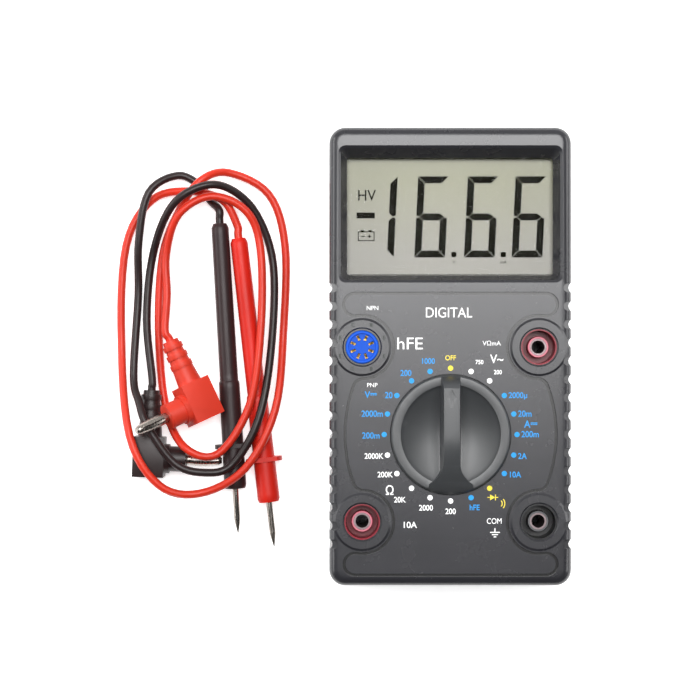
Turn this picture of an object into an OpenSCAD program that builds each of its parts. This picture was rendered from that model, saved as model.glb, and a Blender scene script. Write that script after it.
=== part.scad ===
// Handheld digital multimeter with a large display, and its two test leads coiled beside it.
// The meter lies on its back. Origin: middle of the back resting face. +Z points out of the
// dial face and +Y towards the display end. Millimetres.

/* [Case] */
// Width of the case
case_w = 75; // [75:0.5:77]
// Length of the case
case_l = 142; // [142:0.5:144]
// Thickness from the back to the dial face
case_h = 35; // [35:0.5:36]
// Height of the joint line between the two case halves
split_z = 17; // [16:0.5:17.5]
// Thickness of the case walls
wall = 2; // [1.8:0.1:2]
// Corner radius seen from the front
corner_r = 5; // [4:0.5:6]
// Radius that rounds the front edge
front_edge_r = 3; // [2:0.5:3]
// Radius that rounds the back edge
back_edge_r = 1.5; // [1:0.5:2]

/* [Side grip] */
// Number of scallops down each side
scallops = 15; // [5:1:15]
// Distance from one scallop to the next
scallop_pitch = 5.66; // [5:0.02:5.66]
// Radius of a scallop
scallop_r = 1.7; // [1.5:0.1:1.8]
// Depth of a scallop below the side
scallop_depth = 1; // [0.8:0.1:1]
// Place of the lowest scallop along the case
scallop_low_y = -58; // [-59:0.5:-57]

/* [Display] */
// Width of the display window
window_w = 64; // [60:1:64]
// Height of the display window
window_l = 36.6; // [34:0.2:37]
// Middle of the window along the case
window_y = 43.4; // [43:0.1:44]
// Depth of the window sill below the dial face
sill_depth = 4; // [3.5:0.5:4]
// Slope around the window at the sides
slope_side = 2.7; // [2:0.1:2.7]
// Slope around the window at its top edge
slope_top = 3.5; // [3:0.1:3.6]
// Slope around the window at its bottom edge
slope_bottom = 2.3; // [2:0.1:2.4]

/* [Selector] */
// Radius of the selector's top disc
knob_r = 18.4; // [18:0.1:18.4]
// Gap between the disc and the case
knob_gap = 0.35; // [0.3:0.05:0.5]
// Height of the finger grip above the dial face
grip_h = 8.5; // [7:0.5:9]
// Width of the finger grip
grip_w = 4.8; // [4:0.2:5.4]
// Number of switch positions
positions = 20; // [20:1:20]

/* [Jacks] */
// Bore radius of the plug sockets
jack_bore_r = 2.05; // [2.02:0.01:2.1]
// Depth of the plug sockets
jack_bore_l = 18; // [16:0.5:18]
// Radius of the recess around each socket
jack_recess_r = 5.15; // [5:0.05:5.15]

/* [Test leads] */
// Diameter of the lead cable
cable_d = 2.6; // [2.4:0.1:2.6]
// Length of a probe handle
probe_l = 86; // [84:1:86]
// Length of the bare metal tip
tip_l = 14.5; // [12:0.5:15]

/* [Hidden] */
$fn = 64;
eps = 0.01;

case_grey = "dimgray";
knob_grey = "gray";
metal = "silver";
brass = "goldenrod";

inner_w = case_w - 2 * wall;
inner_l = case_l - 2 * wall;
roof_z = case_h - wall;

// Levels of the stack behind the window, from the circuit board up.
board_z = 20.8;
board_t = 1.6;
board_top = board_z + board_t;
board_w = inner_w - 1;
board_l = inner_l - 1.4;
sill_z = case_h - sill_depth;
lip_t = 1.2;
window_t = 1.6;
window_margin = 2;
lcd_t = 2.8;
lcd_top = sill_z - lip_t - window_t - 0.2;
lcd_z = lcd_top - lcd_t;
lcd_w = window_w + 2;
lcd_l = window_l + 2;

// Middle of the selector, and of the four round features around it.
knob_x = 0;
knob_y = -24.1;
knob_pos = [knob_x, knob_y];
jack_x = 27.3;
jack_dy = 27;
volt_pos = [jack_x, knob_y + jack_dy];
ten_pos = [-jack_x, knob_y - jack_dy];
com_pos = [jack_x, knob_y - jack_dy];
socket_pos = [-jack_x, knob_y + jack_dy];
jack_places = [volt_pos, ten_pos, com_pos];

// Outline of the sunk dial panel: two end bars, four round bites and two bulging sides.
panel_top = 19.5;
panel_bottom = -67.5;
bite_r = 9.8;
bulb_x = 29.5;
bulge_r = 44;
bulge_x = 32.6 - bulge_r;
fillet_r = 3.2;
panel_sink = 0.3;
groove_w = 0.9;
groove_depth = 0.8;

// Screw places.
case_screw_x = 31;
case_screw_y = [16.2, -63.5];
board_screw_places = [[-15, 10], [15, 10], [-14, -57], [14, -57]];
boss_r = 3.6;
screw_r = 1.45;
screw_hole_r = 1.5;
screw_head_z = 5;

// Battery, its cover and the tilt stand in the back.
cover_w = 54;
cover_y0 = 24;
cover_t = 2;
cover_gap = 0.2;
tongue_w = 1;
battery_l = 45;
battery_w = 26.5;
battery_t = 17;
battery_x = -24;
battery_y = 45;
stand_w = 44;
stand_y0 = -50;
pivot_y = 8;
pivot_z = 1.9;
pivot_r = 1.25;
stand_t = 2.5;
recess_depth = 3.6;
recess_gap = 0.4;
stub_l = 2.6;

// Jack cup, sleeve and detent sizes shared by several pieces.
insert_r = 5.5;
insert_flange_r = 6.8;
jack_well_z = case_h - 8;
sleeve_r = 2.6;
collar_r = 3.35;
collar_in_r = sleeve_r + 0.05;
jack_top = case_h - 3.2;
board_screw_r = 0.85;
socket_r = 5.07;
socket_slot_r = 3;
detent_r = 20;
ball_r = 1.5;
ball_z = case_h - 6.8;
pocket_x = 9.5;
skirt_r = 17.3;
knob_web_z = roof_z - 1.8;

// Places of the small parts under the circuit board.
fuse_y = -61.5;
fuse_z = 17.2;
shunt_y = -46;
buzzer_y = -20;
floor_z = recess_depth + 1.5 + 0.5;

function arc(centre, r, from, to, steps) =
    [for (i = [0:steps]) let (a = from + (to - from) * i / steps)
        centre + r * [cos(a), sin(a)]];
// The same arc without its last point, where the next arc of an outline starts.
function open_arc(centre, r, from, to, steps) =
    arc(centre, r, from, to - (to - from) / steps, steps - 1);
function angle_to(from, to) = atan2(to[1] - from[1], to[0] - from[0]);
function flip_x(points) = [for (i = [len(points) - 1:-1:0]) [-points[i][0], points[i][1]]];

// Radius of the end bulb that touches an end line and the bite next to it.
function bulb_r(reach) =
    (pow(bulb_x - jack_x, 2) + pow(reach, 2) - pow(bite_r, 2)) / (2 * (reach + bite_r));
// Where a fillet between the bulging side and a bite has its centre, from the selector.
function fillet_centre() =
    let (from_side = bulge_r - fillet_r,
        from_bite = bite_r + fillet_r,
        span = norm([jack_x - bulge_x, jack_dy]),
        base = atan2(jack_dy, jack_x - bulge_x),
        turn = acos((pow(from_side, 2) + pow(span, 2) - pow(from_bite, 2))
            / (2 * from_side * span)))
    [bulge_x, 0] + from_side * [cos(base - turn), sin(base - turn)];

// Right edge of the panel above (or below) the selector, from its end line to the middle of the
// side, measured from the selector and grown outwards by d.
function panel_quarter(end_dy, d) =
    let (r = bulb_r(end_dy - jack_dy),
        bulb = [bulb_x, end_dy - r],
        bite = [jack_x, jack_dy],
        side = [bulge_x, 0],
        fillet = fillet_centre(),
        at_bulb = angle_to(bulb, bite),
        at_bite = angle_to(bite, fillet),
        at_side = angle_to(side, fillet))
    concat(
        open_arc(bulb, r + d, 90, at_bulb, 12),
        open_arc(bite, bite_r - d, at_bulb + 180, at_bite + 360, 24),
        open_arc(fillet, fillet_r + d, at_bite + 180, at_side, 6),
        arc(side, bulge_r + d, at_side, 0, 5)
    );
function panel_right(d) =
    let (low = panel_quarter(knob_y - panel_bottom, d))
    concat(
        panel_quarter(panel_top - knob_y, d),
        [for (i = [len(low) - 2:-1:0]) [low[i][0], -low[i][1]]]
    );

// Smooth path through a short list of points, and a round cable along a path.
function spline_at(a, b, c, d, t) =
    0.5 * (2 * b + (c - a) * t + (2 * a - 5 * b + 4 * c - d) * pow(t, 2)
        + (3 * b - a - 3 * c + d) * pow(t, 3));
function spline(points, steps) =
    let (n = len(points))
    concat(
        [for (i = [0:n - 2], k = [0:steps - 1])
            spline_at(points[max(i - 1, 0)], points[i], points[i + 1],
                points[min(i + 2, n - 1)], k / steps)],
        [points[n - 1]]
    );
module cable(path, r, sides = 12) {
    n = len(path);
    rings = [for (i = [0:n - 1])
        let (along = path[min(i + 1, n - 1)] - path[max(i - 1, 0)],
            t = along / norm(along),
            flat = norm([t[0], t[1]]) > 0.1 ? cross([0, 0, 1], t) : cross([0, 1, 0], t),
            u = flat / norm(flat),
            v = cross(t, u))
        for (k = [0:sides - 1])
            path[i] + r * (cos(360 * k / sides) * u + sin(360 * k / sides) * v)];
    skin = [for (i = [0:n - 2], k = [0:sides - 1])
        let (a = i * sides + k,
            b = i * sides + (k + 1) % sides)
        for (face = [[a, a + sides, b], [b, a + sides, b + sides]]) face];
    start_cap = [for (k = [0:sides - 1]) k];
    end_cap = [for (k = [sides - 1:-1:0]) (n - 1) * sides + k];
    polyhedron(rings, concat(skin, [start_cap, end_cap]));
}

module rounded_plate(w, l, t, r) {
    linear_extrude(t) {
        square([w - 2 * r, l], center = true);
        square([w, l - 2 * r], center = true);
        for (sx = [-1, 1], sy = [-1, 1])
            translate([sx * (w / 2 - r), sy * (l / 2 - r)])
                circle(r);
    }
}
// Block with the outline of the case whose edge at z_round is rounded by edge_r.
module case_block(z_flat, z_round, edge_r) {
    dir = sign(z_round - z_flat);
    profile = concat(
        [[0, z_round], [0, z_flat], [corner_r, z_flat]],
        [for (a = [0:15:90])
            [corner_r - edge_r + edge_r * cos(a), z_round - dir * edge_r * (1 - sin(a))]]
    );
    hull()
        for (sx = [-1, 1], sy = [-1, 1])
            translate([sx * (case_w / 2 - corner_r), sy * (case_l / 2 - corner_r), 0])
                rotate_extrude($fn = 32)
                    polygon(profile);
}
module tube(outer_r, inner_r, h) {
    difference() {
        cylinder(r = outer_r, h = h);
        translate([0, 0, -1])
            cylinder(r = inner_r, h = h + 2);
    }
}
module at_case_screws() {
    for (sx = [-1, 1], y = case_screw_y)
        translate([sx * case_screw_x, y, 0])
            children();
}
module at_places(places) {
    for (p = places)
        translate([p[0], p[1], 0])
            children();
}
// Scallops down both sides, with a shallow scoop where each one meets the front edge.
module side_scallops() {
    scoop_r = 1.45;
    scoop_in = 1.2;
    scoop_depth = 1.3;
    for (sx = [-1, 1], i = [0:scallops - 1])
        translate([0, scallop_low_y + i * scallop_pitch, 0]) {
            translate([sx * (case_w / 2 + scallop_r - scallop_depth), 0, -1])
                cylinder(r = scallop_r, h = case_h + 2);
            translate([sx * (case_w / 2 - scoop_in), 0, case_h - scoop_depth])
                cylinder(r = scoop_r, h = scoop_depth + 1);
        }
}

module rear_case() {
    lip_w = 1.1;
    lip_gap = 0.05;
    lip_up = 1.5;
    stand_box_w = stand_w + 9;
    color(case_grey)
        difference() {
            union() {
                difference() {
                    case_block(split_z, 0, back_edge_r);
                    translate([0, 0, wall])
                        rounded_plate(inner_w, inner_l, split_z, corner_r - wall);
                }
                translate([0, 0, split_z - 2])
                    difference() {
                        rounded_plate(inner_w + 0.2, inner_l + 0.2, 2, corner_r - wall);
                        translate([0, 0, -1])
                            rounded_plate(inner_w - 2 * lip_w, inner_l - 2 * lip_w, 4, corner_r - wall);
                    }
                translate([0, 0, split_z - 1])
                    difference() {
                        rounded_plate(inner_w - 2 * lip_gap, inner_l - 2 * lip_gap,
                            1 + lip_up, corner_r - wall);
                        translate([0, 0, -1])
                            rounded_plate(inner_w - 2 * lip_w, inner_l - 2 * lip_w,
                                3 + lip_up, corner_r - wall);
                    }
                at_case_screws()
                    cylinder(r = boss_r, h = split_z);
                translate([-stand_box_w / 2, stand_y0 - 4, 0.5])
                    cube([stand_box_w, pivot_y + 4 - stand_y0 + 4, recess_depth + 1.5]);
                for (sx = [-1, 1])
                    translate([sx * (cover_w / 2 + 1) - 0.75, cover_y0, 0.5])
                        cube([1.5, inner_l / 2 - cover_y0, split_z - 3]);
                translate([-cover_w / 2 - 1, cover_y0 - 2.5, 0.5])
                    cube([cover_w + 2, 1.5, split_z - 3]);
            }
            at_case_screws() {
                translate([0, 0, -1])
                    cylinder(r = screw_hole_r + 0.1, h = split_z + 2);
                translate([0, 0, -1])
                    cylinder(r = 2.9, h = screw_head_z + 1);
            }
            translate([-stand_w / 2 - recess_gap, stand_y0 - 1.2, -1])
                cube([stand_w + 2 * recess_gap, pivot_y + 2.2 - stand_y0 + 1.2, recess_depth + 1]);
            translate([-9, stand_y0 - 6, -1])
                cube([18, 6, recess_depth - 0.6]);
            translate([-stand_w / 2 - stub_l, pivot_y, pivot_z])
                rotate([0, 90, 0])
                    cylinder(r = pivot_r + 0.06, h = stand_w + 2 * stub_l);
            translate([-cover_w / 2 - cover_gap, cover_y0 - cover_gap, -1])
                cube([cover_w + 2 * cover_gap, case_l, cover_t + 1 + cover_gap]);
            translate([-cover_w / 2 - tongue_w - cover_gap, cover_y0 - cover_gap, 0.8 - cover_gap / 2])
                cube([cover_w + 2 * (tongue_w + cover_gap), case_l, 0.8 + cover_gap]);
            side_scallops();
        }
}

// Level outline used to carve the sloped surround of the window.
module window_level(z, side, top, bottom, r) {
    translate([0, window_y + (top - bottom) / 2, z])
        rounded_plate(window_w + 2 * side, window_l + top + bottom, eps, r);
}
module display_recess() {
    brim = 0.8;
    brim_drop = 0.5;
    brim_side = slope_side - brim;
    brim_top = slope_top - brim;
    brim_bottom = slope_bottom - brim;
    hull() {
        window_level(case_h + 0.1, slope_side + 0.15, slope_top + 0.15, slope_bottom + 0.15, 2.4, $fn = 32);
        window_level(case_h - brim_drop, brim_side, brim_top, brim_bottom, 2, $fn = 32);
    }
    hull() {
        window_level(case_h - brim_drop, brim_side, brim_top, brim_bottom, 2, $fn = 32);
        window_level(sill_z, 0, 0, 0, 1, $fn = 32);
    }
    translate([0, window_y, sill_z - lip_t - 1])
        rounded_plate(window_w, window_l, lip_t + 1.1, 1);
    translate([0, window_y, sill_z - lip_t - window_t - 1])
        rounded_plate(window_w + 2 * window_margin + 0.2, window_l + 2 * window_margin + 0.2,
            window_t + 1, 1);
}
// Low raised ring around a jack or the transistor socket.
module jack_rim() {
    rim_h = 0.4;
    rotate_extrude()
        polygon([[4, case_h - 1], [9, case_h - 1], [9, case_h], [8.3, case_h + rim_h],
            [6.1, case_h + rim_h], [5.5, case_h - 0.2], [4, case_h - 0.2]]);
}
module panel_outline(d) {
    translate(knob_pos)
        polygon(concat(panel_right(d), flip_x(panel_right(d))));
}

module front_case() {
    surround_l = slope_top + slope_bottom + window_l + 4;
    surround_z = sill_z - lip_t - window_t;
    detent_ring_r = 21.8;
    detent_ring_l = 9;
    color(case_grey)
        difference() {
            union() {
                difference() {
                    case_block(split_z, case_h, front_edge_r);
                    translate([0, 0, split_z - 1])
                        rounded_plate(inner_w, inner_l, roof_z - split_z + 1, corner_r - wall);
                }
                translate([0, window_y + (slope_top - slope_bottom) / 2, surround_z])
                    rounded_plate(inner_w + 0.2, surround_l, roof_z - surround_z + 0.5, 1);
                at_case_screws()
                    translate([0, 0, split_z])
                        cylinder(r = boss_r - 0.6, h = case_h - split_z - 1);
                at_places(board_screw_places)
                    translate([0, 0, board_top])
                        cylinder(r = 2.6, h = case_h - board_top - 1);
                at_places(jack_places) {
                    translate([0, 0, jack_well_z])
                        cylinder(r = 7, h = case_h - jack_well_z - 1);
                    jack_rim();
                }
                at_places([socket_pos])
                    jack_rim();
                at_places([knob_pos])
                    translate([0, 0, case_h - detent_ring_l])
                        cylinder(r = detent_ring_r, h = detent_ring_l - 1);
            }
            display_recess();
            translate([0, 0, case_h - panel_sink])
                linear_extrude(panel_sink + 1)
                    panel_outline(0);
            translate([0, 0, case_h - groove_depth])
                linear_extrude(groove_depth + 1)
                    difference() {
                        panel_outline(groove_w / 2);
                        panel_outline(-groove_w / 2);
                    }
            at_places([knob_pos]) {
                translate([0, 0, case_h - detent_ring_l - 1])
                    cylinder(r = detent_r, h = detent_ring_l + 1 - wall);
                cylinder(r = knob_r + knob_gap, h = case_h + 1);
                for (i = [0:positions - 1])
                    rotate([0, 0, i * 360 / positions])
                        translate([detent_r - 1.1, 0, case_h - detent_ring_l - 1])
                            cylinder(r = 1.9, h = detent_ring_l - 3);
            }
            at_places(jack_places)
                cylinder(r = insert_r + 0.1, h = case_h + 2);
            at_places([socket_pos])
                cylinder(r = socket_r + 0.13, h = case_h + 2);
            at_case_screws()
                cylinder(r = screw_hole_r, h = case_h - 5);
            at_places(board_screw_places)
                cylinder(r = board_screw_r + 0.05, h = case_h - 4);
            side_scallops();
        }
}
module display_window() {
    color("lightcyan", 0.4)
        translate([0, window_y, sill_z - lip_t - window_t])
            rounded_plate(window_w + 2 * window_margin, window_l + 2 * window_margin, window_t, 0.9);
}
module lcd_panel() {
    step_w = 3;
    color("darkkhaki")
        translate([0, window_y, lcd_z]) {
            translate([-lcd_w / 2, -lcd_l / 2, 0])
                cube([lcd_w, lcd_l, lcd_t / 2]);
            translate([-lcd_w / 2, -lcd_l / 2 + step_w / 2, lcd_t / 2 - eps])
                cube([lcd_w, lcd_l - step_w, lcd_t / 2 + eps]);
        }
}
module lcd_frame() {
    frame_w = 1.2;
    glass_gap = 0.1;
    color("whitesmoke")
        translate([0, window_y, board_top])
            difference() {
                rounded_plate(lcd_w + 2 * frame_w, lcd_l + 2 * frame_w, lcd_top - board_top - 0.1, 1);
                translate([0, 0, -1])
                    rounded_plate(lcd_w + 2 * glass_gap, lcd_l + 2 * glass_gap, lcd_top, 0.3);
            }
}
module zebra_strips() {
    strip_w = 2.4;
    color("pink")
        for (sy = [-1, 1])
            translate([-lcd_w / 2 + 1, window_y + sy * (lcd_l / 2 - 2) - strip_w / 2, board_top])
                cube([lcd_w - 2, strip_w, lcd_z - board_top]);
}
module circuit_board() {
    color("green")
        translate([0, 0, board_z])
            difference() {
                rounded_plate(board_w, board_l, board_t, 2);
                translate([0, 0, -1]) {
                    at_case_screws()
                        cylinder(r = boss_r, h = board_t + 2);
                    at_places(jack_places)
                        cylinder(r = sleeve_r + 0.06, h = board_t + 2);
                    at_places(board_screw_places)
                        cylinder(r = board_screw_r + 0.1, h = board_t + 2);
                    at_socket_slots()
                        cylinder(r = 0.9, h = board_t + 2, $fn = 24);
                    at_places([knob_pos])
                        cylinder(r = 3, h = board_t + 2);
                }
            }
}
module board_screws() {
    head_h = 1.6;
    color(metal)
        at_places(board_screw_places)
            difference() {
                union() {
                    translate([0, 0, board_z - head_h])
                        cylinder(r = 2.1, h = head_h);
                    translate([0, 0, board_z])
                        cylinder(r = board_screw_r, h = 8);
                }
                for (turn = [0, 90])
                    rotate([0, 0, turn])
                        translate([-1.4, -0.3, board_z - head_h - 1])
                            cube([2.8, 0.6, 1.7]);
            }
}
module case_screws() {
    head_h = 2;
    color(metal)
        at_case_screws()
            difference() {
                union() {
                    translate([0, 0, screw_head_z - head_h])
                        cylinder(r = 2.7, h = head_h);
                    translate([0, 0, screw_head_z])
                        cylinder(r = screw_r, h = 20);
                }
                for (turn = [0, 90])
                    rotate([0, 0, turn])
                        translate([-1.8, -0.4, screw_head_z - head_h - 1])
                            cube([3.6, 0.8, 2]);
            }
}

// Coloured plastic cup around one plug socket: a recess with a collar in its middle.
module jack_insert(place) {
    cup_floor = case_h - 7.4;
    collar_top = case_h - 3;
    at_places([place])
        rotate_extrude()
            polygon([
                [collar_in_r, board_top + 0.7], [insert_flange_r, board_top + 0.7],
                [insert_flange_r, jack_well_z], [insert_r, jack_well_z],
                [insert_r, case_h - 0.3], [jack_recess_r, case_h - 0.3],
                [jack_recess_r - 0.2, cup_floor], [collar_r, cup_floor],
                [collar_r, collar_top - 0.2], [collar_r - 0.2, collar_top],
                [collar_in_r, collar_top]
            ]);
}
module jack_insert_volt() { color("firebrick") jack_insert(volt_pos); }
module jack_insert_10a() { color("firebrick") jack_insert(ten_pos); }
module jack_insert_com() { color("black") jack_insert(com_pos); }
module jack_sleeves() {
    flange_h = 0.6;
    color(metal)
        at_places(jack_places) {
            translate([0, 0, jack_top - jack_bore_l])
                tube(sleeve_r, jack_bore_r, jack_bore_l);
            translate([0, 0, board_top])
                tube(sleeve_r + 0.9, sleeve_r - 0.2, flange_h);
        }
}

module at_socket_slots() {
    at_places([socket_pos])
        for (i = [0:7])
            rotate([0, 0, 22.5 + 45 * i])
                translate([socket_slot_r, 0, 0])
                    children();
}
module transistor_socket() {
    slot_l = 1.8;
    slot_w = 0.85;
    color("dodgerblue")
        difference() {
            at_places([socket_pos])
                rotate_extrude()
                    polygon([
                        [0, board_top + 0.1], [6.4, board_top + 0.1], [6.4, roof_z - 6],
                        [6.4, roof_z], [socket_r, roof_z], [socket_r, case_h + 0.4],
                        [socket_r - 0.3, case_h + 0.7], [socket_r - 0.8, case_h + 0.7],
                        [socket_r - 1, case_h + 0.3], [0, case_h + 0.3]
                    ]);
            at_socket_slots()
                translate([-slot_l / 2, -slot_w / 2, 0])
                    cube([slot_l, slot_w, case_h + 2]);
        }
}
module socket_contacts() {
    color(brass)
        at_socket_slots() {
            for (sx = [-1, 1])
                translate([sx * 0.6 - 0.15, -0.4, board_top + 0.2])
                    cube([0.3, 0.8, 9]);
            translate([-0.75, -0.4, board_top + 0.1])
                cube([1.5, 0.8, 0.5]);
            translate([0, 0, board_z - 1.5])
                cylinder(r = 0.35, h = board_t + 2, $fn = 24);
        }
}

// Finger grip: narrow at its pointer end, flared and sloping down at the other.
module finger_grip() {
    top_z = case_h + grip_h;
    tail_drop = 6.5;
    tail_l = 17.2;
    tail_r = (pow(tail_l, 2) + pow(tail_drop, 2)) / (2 * tail_drop);
    flare_r = 9;
    flare_y = -7.5;
    end_r = knob_r - 0.5;
    flare = arc([grip_w / 2 + flare_r, flare_y], flare_r, 180, 238, 10);
    tail = [for (a = [0:3:45]) [-tail_r * sin(a), top_z - tail_r * (1 - cos(a))]];
    side_view = concat([[end_r + 1, knob_web_z], [end_r + 1, case_h + 1.5], [16.6, top_z - 3],
        [15.6, top_z - 0.9], [14.4, top_z]], tail, [[-end_r - 1, knob_web_z]]);
    intersection() {
        union() {
            linear_extrude(case_h + grip_h + 1)
                polygon(concat(flare, [[8, -end_r - 2], [-8, -end_r - 2]], flip_x(flare)));
            hull()
                for (level = [[knob_web_z, 1], [top_z + 0.1, 0]])
                    translate([-grip_w / 2 - level[1], -end_r, level[0]])
                        cube([grip_w + 2 * level[1], 2 * end_r, eps]);
        }
        rotate([90, 0, 90])
            linear_extrude(40, center = true)
                polygon(side_view);
        cylinder(r = end_r, h = case_h + grip_h + 1);
    }
}
module selector_knob() {
    rim_top = case_h + 1.3;
    dish_r = 15.4;
    dish_depth = 3;
    dish_edge = rim_top - 0.6;
    dish_ball_r = (pow(dish_r, 2) + pow(dish_depth, 2)) / (2 * dish_depth);
    skirt_bottom = board_top + 0.6;
    arrow_z = case_h + grip_h - 0.4;
    color(knob_grey)
        at_places([knob_pos])
            difference() {
                union() {
                    difference() {
                        rotate_extrude()
                            polygon([
                                [0, knob_web_z], [15.5, knob_web_z], [15.5, skirt_bottom],
                                [skirt_r, skirt_bottom], [skirt_r, knob_web_z],
                                [detent_r - 0.4, knob_web_z], [detent_r - 0.4, roof_z - 0.2],
                                [knob_r, roof_z - 0.2], [knob_r, rim_top - 0.5],
                                [knob_r - 0.5, rim_top], [0, rim_top]
                            ]);
                        intersection() {
                            translate([0, 0, dish_edge - dish_depth + dish_ball_r])
                                sphere(r = dish_ball_r, $fn = 96);
                            translate([0, 0, knob_web_z])
                                cylinder(r = dish_r, h = 10);
                        }
                    }
                    finger_grip();
                    for (side = [0, 180])
                        rotate([0, 0, side]) {
                            translate([8, 0, ball_z])
                                rotate([0, 90, 0])
                                    cylinder(r = 2.7, h = skirt_r - 8.5);
                            translate([8, -1, ball_z + 1.8])
                                cube([skirt_r - 9, 2, knob_web_z - ball_z - 1.7]);
                        }
                }
                for (side = [0, 180])
                    rotate([0, 0, side])
                        translate([pocket_x, 0, ball_z])
                            rotate([0, 90, 0])
                                cylinder(r = ball_r + 0.1, h = 10);
                translate([0, 0, arrow_z])
                    linear_extrude(1)
                        polygon([[0, 14], [1.5, 11.2], [0.6, 11.2], [0.6, 8.6], [-0.6, 8.6],
                            [-0.6, 11.2], [-1.5, 11.2]]);
            }
}
module detent_balls() {
    color("lightsteelblue")
        at_places([knob_pos])
            for (sx = [-1, 1])
                translate([sx * (detent_r - 0.2 - ball_r), 0, ball_z])
                    sphere(r = ball_r);
}
module detent_springs() {
    turns = 5;
    steps = 14;
    wire_r = 0.22;
    coil_r = 1.1;
    coil_x0 = pocket_x + wire_r + 0.02;
    coil_l = detent_r - 0.2 - 2 * ball_r - coil_x0 - wire_r + 0.1;
    path = [for (i = [0:turns * steps])
        [coil_x0 + coil_l * i / (turns * steps),
            coil_r * cos(360 * i / steps), coil_r * sin(360 * i / steps)]];
    color(metal)
        at_places([knob_pos])
            for (side = [0, 180])
                rotate([0, 0, side])
                    translate([0, 0, ball_z])
                        cable(path, wire_r, 6);
}
module contact_wipers() {
    color(brass)
        at_places([knob_pos])
            for (turn = [20, 140, 260])
                rotate([0, 0, turn]) {
                    translate([0, 0, board_top + 0.3])
                        rotate_extrude(angle = 50)
                            translate([skirt_r - 1.6, 0])
                                square([1.4, 0.3]);
                    for (a = [6, 44])
                        rotate([0, 0, a])
                            translate([skirt_r - 0.9, 0, board_top + 0.1])
                                cylinder(r = 0.5, h = 0.25);
                }
}

module battery() {
    edge = 2;
    color("darkslategray")
        translate([battery_x, battery_y, cover_t + 0.3 + battery_t / 2])
            rotate([0, 90, 0])
                rounded_plate(battery_t, battery_w, battery_l, edge);
}
module at_terminals() {
    for (sy = [-1, 1])
        translate([battery_x + battery_l, battery_y + sy * 6.35, cover_t + 0.3 + battery_t / 2])
            rotate([0, 90, 0])
                children();
}
module battery_terminals() {
    color(metal)
        at_terminals() {
            cylinder(r = 3.4, h = 0.5);
            cylinder(r = 2.8, h = 3);
        }
}
module battery_snap() {
    snap_t = 3.4;
    color("black")
        difference() {
            translate([battery_x + battery_l + 0.6, battery_y, cover_t + 0.3 + battery_t / 2])
                rotate([0, 90, 0])
                    rounded_plate(12, 25, snap_t, 4);
            at_terminals()
                translate([0, 0, -1])
                    cylinder(r = 2.85, h = 4.2);
        }
}
// Wire from the battery snap to the circuit board.
module battery_wire(dy) {
    start = [battery_x + battery_l + 4.2, battery_y + dy, cover_t + 0.3 + battery_t / 2];
    end = [start[0] + 1, start[1] - 5, board_z - 0.1];
    cable(spline([start, start + [0.5, 0, 0], start + [1, -1, 0.9], start + [1.1, -4, 4],
        start + [1, -5, 7], end], 6), 0.6, 10);
}
module battery_wire_red() { color("red") battery_wire(5); }
module battery_wire_black() { color("black") battery_wire(-4); }
module battery_cover() {
    color(case_grey)
        difference() {
            intersection() {
                union() {
                    translate([-cover_w / 2, cover_y0, 0])
                        cube([cover_w, case_l / 2 - cover_y0, cover_t]);
                    translate([-cover_w / 2 - tongue_w, cover_y0, 0.8])
                        cube([cover_w + 2 * tongue_w, case_l / 2 - cover_y0 - 3, 0.8]);
                }
                case_block(split_z, 0, back_edge_r);
            }
            for (i = [0:5])
                translate([-9, 50 + 2.4 * i, -0.3])
                    rotate([0, 90, 0])
                        cylinder(r = 0.8, h = 18);
        }
}
module tilt_stand() {
    plate_z = pivot_z - stand_t / 2;
    color(knob_grey)
        difference() {
            union() {
                translate([-stand_w / 2, stand_y0, plate_z])
                    cube([stand_w, pivot_y - stand_y0, stand_t]);
                translate([-stand_w / 2 - stub_l + 0.2, pivot_y, pivot_z])
                    rotate([0, 90, 0])
                        cylinder(r = pivot_r, h = stand_w + 2 * stub_l - 0.4);
            }
            translate([0, (stand_y0 + pivot_y) / 2 + 2, -1])
                rounded_plate(stand_w - 16, pivot_y - stand_y0 - 22, 8, 4);
        }
}

module fuse_glass() {
    color("azure", 0.5)
        fuse_axis()
            translate([0, 0, -9])
                tube(2.3, 1.9, 18);
}
module fuse_axis() {
    translate([0, fuse_y, fuse_z])
        rotate([0, 90, 0])
            children();
}
module fuse_caps() {
    color(metal)
        fuse_axis() {
            for (end = [0, 180])
                rotate([end, 0, 0])
                    translate([0, 0, 5])
                        difference() {
                            cylinder(r = 2.6, h = 5);
                            translate([0, 0, -1])
                                cylinder(r = 2.32, h = 5.1);
                        }
            cylinder(r = 0.12, h = 18.6, center = true);
        }
}
module fuse_clips() {
    clip_l = 4;
    color(brass)
        for (sx = [-1, 1])
            translate([sx * 7.5, 0, 0]) {
                fuse_axis()
                    difference() {
                        cylinder(r = 3, h = clip_l, center = true);
                        cylinder(r = 2.62, h = clip_l + 2, center = true);
                        translate([4.4, 0, 0])
                            cube([6, 3, clip_l + 2], center = true);
                    }
                translate([-clip_l / 2, fuse_y - 1, fuse_z + 2.8])
                    cube([clip_l, 2, board_z - fuse_z - 2.8]);
            }
}
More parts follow.
